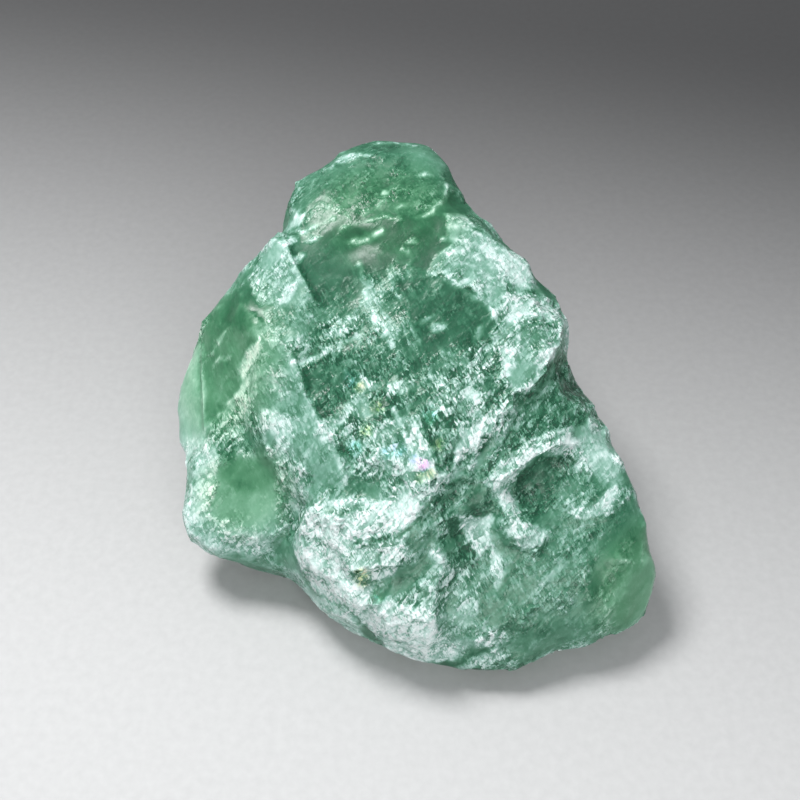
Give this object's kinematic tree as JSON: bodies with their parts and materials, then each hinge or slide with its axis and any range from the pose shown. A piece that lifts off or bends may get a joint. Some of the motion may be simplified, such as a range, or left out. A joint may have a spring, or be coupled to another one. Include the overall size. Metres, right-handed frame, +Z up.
{
  "type": "rough fluorite stone",
  "caption": "Rough translucent green fluorite stone: a slanting, cleaved face with ledges, a knob at the top, a flat underside to rest on.",
  "frame": {"origin": "centre of the bounding box's footprint, on the rest plane", "axes": "+Z up from the flat underside, -Y towards the low front edge that the broad slanting face comes down to, +X to the right when the face is looked at"},
  "size_m": [0.086, 0.0882, 0.0504],
  "materials": {
    "green_fluorite": "rough broken, glassy on the cleavage faces"
  },
  "bodies": {
    "root": {"fluorite_stone": "green_fluorite"}
  },
  "joints": []
}
